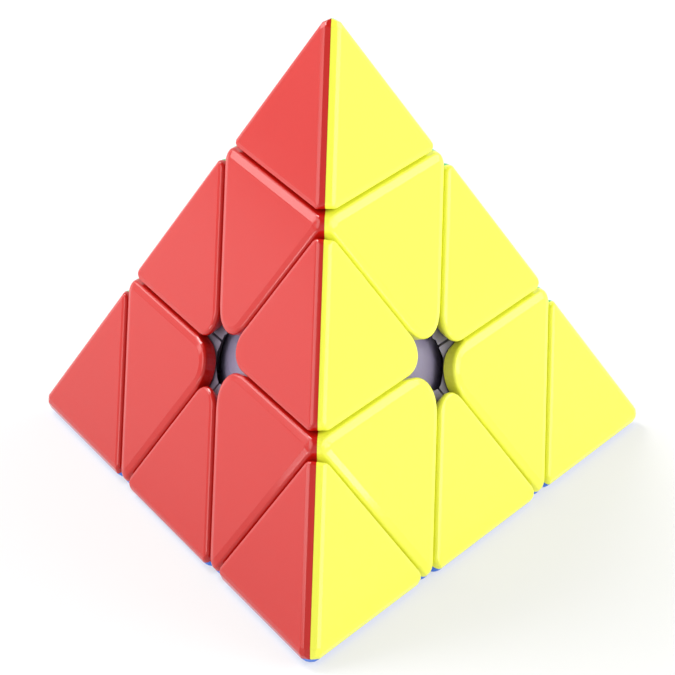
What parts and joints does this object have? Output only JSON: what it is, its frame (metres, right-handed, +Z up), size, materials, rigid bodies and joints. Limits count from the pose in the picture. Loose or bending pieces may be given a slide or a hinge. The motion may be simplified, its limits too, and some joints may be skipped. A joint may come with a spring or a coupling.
{
  "type": "pyramid twisty puzzle",
  "caption": "Tetrahedral twisty puzzle with coloured faces: corner tips and four layers turn about axes through a ball core.",
  "frame": {"origin": "centre of the core, where the four turning axes cross", "axes": "+Z up along the axis of the top corner; -Y towards the front corner; +X to the right of it"},
  "size_m": [0.0974, 0.0851, 0.0805],
  "materials": {
    "red_plastic": "smooth satin gloss, moulded in colour",
    "yellow_plastic": "smooth satin gloss, moulded in colour",
    "green_plastic": "smooth satin gloss, moulded in colour",
    "blue_plastic": "smooth satin gloss, moulded in colour",
    "frame_plastic": "light grey, as moulded",
    "core_plastic": "smooth grey-violet, as moulded",
    "screw_steel": "zinc plated",
    "spring_steel": "drawn spring wire"
  },
  "bodies": {
    "core": {"core_front_half": "core_plastic", "core_rear_half": "core_plastic", "screw_top": "screw_steel", "spring_top": "spring_steel", "screw_front": "screw_steel", "spring_front": "spring_steel", "screw_left": "screw_steel", "spring_left": "spring_steel", "screw_right": "screw_steel", "spring_right": "spring_steel"},
    "tip_top": {"tip_top_base": "frame_plastic", "tip_top_red": "red_plastic", "tip_top_yellow": "yellow_plastic", "tip_top_green": "green_plastic"},
    "axial_top": {"axial_top_frame": "frame_plastic", "axial_top_red": "red_plastic", "axial_top_yellow": "yellow_plastic", "axial_top_green": "green_plastic"},
    "tip_front": {"tip_front_base": "frame_plastic", "tip_front_red": "red_plastic", "tip_front_yellow": "yellow_plastic", "tip_front_blue": "blue_plastic"},
    "axial_front": {"axial_front_frame": "frame_plastic", "axial_front_red": "red_plastic", "axial_front_yellow": "yellow_plastic", "axial_front_blue": "blue_plastic"},
    "tip_left": {"tip_left_base": "frame_plastic", "tip_left_red": "red_plastic", "tip_left_green": "green_plastic", "tip_left_blue": "blue_plastic"},
    "axial_left": {"axial_left_frame": "frame_plastic", "axial_left_red": "red_plastic", "axial_left_green": "green_plastic", "axial_left_blue": "blue_plastic"},
    "tip_right": {"tip_right_base": "frame_plastic", "tip_right_yellow": "yellow_plastic", "tip_right_green": "green_plastic", "tip_right_blue": "blue_plastic"},
    "axial_right": {"axial_right_frame": "frame_plastic", "axial_right_yellow": "yellow_plastic", "axial_right_green": "green_plastic", "axial_right_blue": "blue_plastic"},
    "edge_top_front": {"edge_top_front_frame": "frame_plastic", "edge_top_front_red": "red_plastic", "edge_top_front_yellow": "yellow_plastic"},
    "edge_top_left": {"edge_top_left_frame": "frame_plastic", "edge_top_left_red": "red_plastic", "edge_top_left_green": "green_plastic"},
    "edge_top_right": {"edge_top_right_frame": "frame_plastic", "edge_top_right_yellow": "yellow_plastic", "edge_top_right_green": "green_plastic"},
    "edge_front_left": {"edge_front_left_frame": "frame_plastic", "edge_front_left_red": "red_plastic", "edge_front_left_blue": "blue_plastic"},
    "edge_left_right": {"edge_left_right_frame": "frame_plastic", "edge_left_right_green": "green_plastic", "edge_left_right_blue": "blue_plastic"},
    "edge_right_front": {"edge_right_front_frame": "frame_plastic", "edge_right_front_yellow": "yellow_plastic", "edge_right_front_blue": "blue_plastic"}
  },
  "joints": [
    {"name": "layer_top", "type": "hinge", "parent": "core", "child": "axial_top", "pos_m": [0, 0, 0], "axis": [0, 0, 1], "continuous": true},
    {"name": "layer_front", "type": "hinge", "parent": "core", "child": "axial_front", "pos_m": [0, 0, 0], "axis": [0, -0.9428, -0.3333], "range_deg": [-360, 360]},
    {"name": "layer_left", "type": "hinge", "parent": "core", "child": "axial_left", "pos_m": [0, 0, 0], "axis": [-0.8165, 0.4714, -0.3333], "range_deg": [-360, 360]},
    {"name": "layer_right", "type": "hinge", "parent": "core", "child": "axial_right", "pos_m": [0, 0, 0], "axis": [0.8165, 0.4714, -0.3333], "range_deg": [-360, 360]},
    {"name": "tip_turn_top", "type": "hinge", "parent": "axial_top", "child": "tip_top", "pos_m": [0, 0, 0], "axis": [0, 0, 1], "continuous": true},
    {"name": "tip_turn_front", "type": "hinge", "parent": "axial_front", "child": "tip_front", "pos_m": [0, 0, 0], "axis": [0, -0.9428, -0.3333], "continuous": true},
    {"name": "tip_turn_left", "type": "hinge", "parent": "axial_left", "child": "tip_left", "pos_m": [0, 0, 0], "axis": [-0.8165, 0.4714, -0.3333], "continuous": true},
    {"name": "tip_turn_right", "type": "hinge", "parent": "axial_right", "child": "tip_right", "pos_m": [0, 0, 0], "axis": [0.8165, 0.4714, -0.3333], "continuous": true},
    {"name": "edge_top_front_with_front", "type": "hinge", "parent": "axial_top", "child": "edge_top_front", "pos_m": [0, 0, 0], "axis": [0, -0.9428, -0.3333], "range_deg": [-360, 360]},
    {"name": "edge_top_left_with_left", "type": "hinge", "parent": "axial_top", "child": "edge_top_left", "pos_m": [0, 0, 0], "axis": [-0.8165, 0.4714, -0.3333], "range_deg": [-360, 360]},
    {"name": "edge_top_right_with_right", "type": "hinge", "parent": "axial_top", "child": "edge_top_right", "pos_m": [0, 0, 0], "axis": [0.8165, 0.4714, -0.3333], "range_deg": [-360, 360]},
    {"name": "edge_front_left_with_left", "type": "hinge", "parent": "axial_front", "child": "edge_front_left", "pos_m": [0, 0, 0], "axis": [-0.8165, 0.4714, -0.3333], "range_deg": [-360, 360]},
    {"name": "edge_left_right_with_right", "type": "hinge", "parent": "axial_left", "child": "edge_left_right", "pos_m": [0, 0, 0], "axis": [0.8165, 0.4714, -0.3333], "range_deg": [-360, 360]},
    {"name": "edge_right_front_with_front", "type": "hinge", "parent": "axial_right", "child": "edge_right_front", "pos_m": [0, 0, 0], "axis": [0, -0.9428, -0.3333], "range_deg": [-360, 360]}
  ],
  "couplings": [
    {"joint": "edge_top_front_with_front", "follows": "layer_front", "ratio": 1},
    {"joint": "edge_top_left_with_left", "follows": "layer_left", "ratio": 1},
    {"joint": "edge_top_right_with_right", "follows": "layer_right", "ratio": 1},
    {"joint": "edge_front_left_with_left", "follows": "layer_left", "ratio": 1},
    {"joint": "edge_left_right_with_right", "follows": "layer_right", "ratio": 1},
    {"joint": "edge_right_front_with_front", "follows": "layer_front", "ratio": 1}
  ]
}
